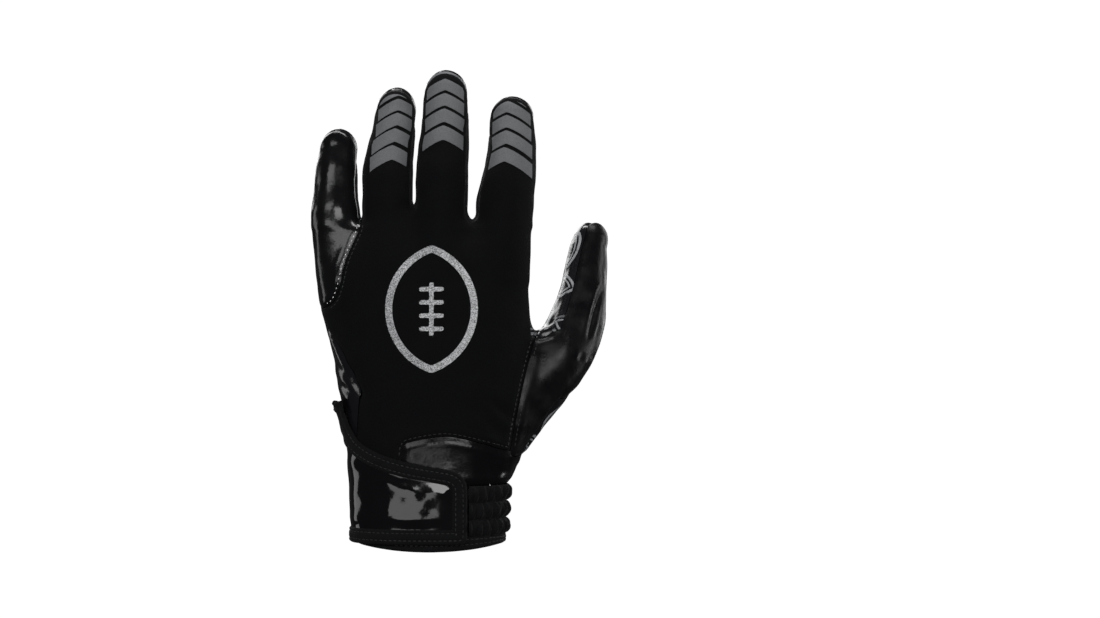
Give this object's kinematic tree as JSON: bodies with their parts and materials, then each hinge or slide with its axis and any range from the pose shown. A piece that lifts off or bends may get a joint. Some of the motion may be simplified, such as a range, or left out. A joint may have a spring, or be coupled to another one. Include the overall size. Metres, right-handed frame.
{
  "type": "football glove",
  "caption": "Left-hand receiver glove, hollow and in worn form, with printed grip palm, banded finger backs, shirred wrist and closing strap.",
  "frame": {"origin": "middle of the wrist opening, in the plane of its lowest point", "axes": "+Z towards the fingertips, -Y out of the back of the hand, +X towards the thumb"},
  "size_m": [0.1374, 0.0654, 0.2208],
  "materials": {
    "knit": "matte black stretch knit",
    "gloss_leather": "glossy black coated leather",
    "printed_palm": "glossy black tacky leather with a silver-grey line print",
    "thumb_satin": "black leather with a soft satin sheen",
    "side_strip": "dull black side strips",
    "binding": "matte black woven binding",
    "elastic": "matte black shirred elastic",
    "strap_gloss": "high-gloss black strap",
    "band_film": "matte grey printed film",
    "emblem_film": "silver glitter printed film"
  },
  "bodies": {
    "root": {"back_panel": "knit", "pinky_panel": "gloss_leather", "palm_panel": "printed_palm", "thumb_pad": "printed_palm", "thumb_back": "thumb_satin", "wrist_patch": "gloss_leather", "fourchette_pinky_ring": "side_strip", "fourchette_ring_middle": "side_strip", "fourchette_middle_index": "side_strip", "cuff_hem": "binding", "elastic_gather": "elastic", "strap_panel": "strap_gloss", "strap_binding": "binding", "emblem_outline": "emblem_film", "emblem_laces": "emblem_film", "band_ring_1": "band_film", "band_ring_2": "band_film", "band_ring_3": "band_film", "band_ring_4": "band_film", "band_middle_1": "band_film", "band_middle_2": "band_film", "band_middle_3": "band_film", "band_middle_4": "band_film", "band_index_1": "band_film", "band_index_2": "band_film", "band_index_3": "band_film", "band_index_4": "band_film"}
  },
  "joints": []
}
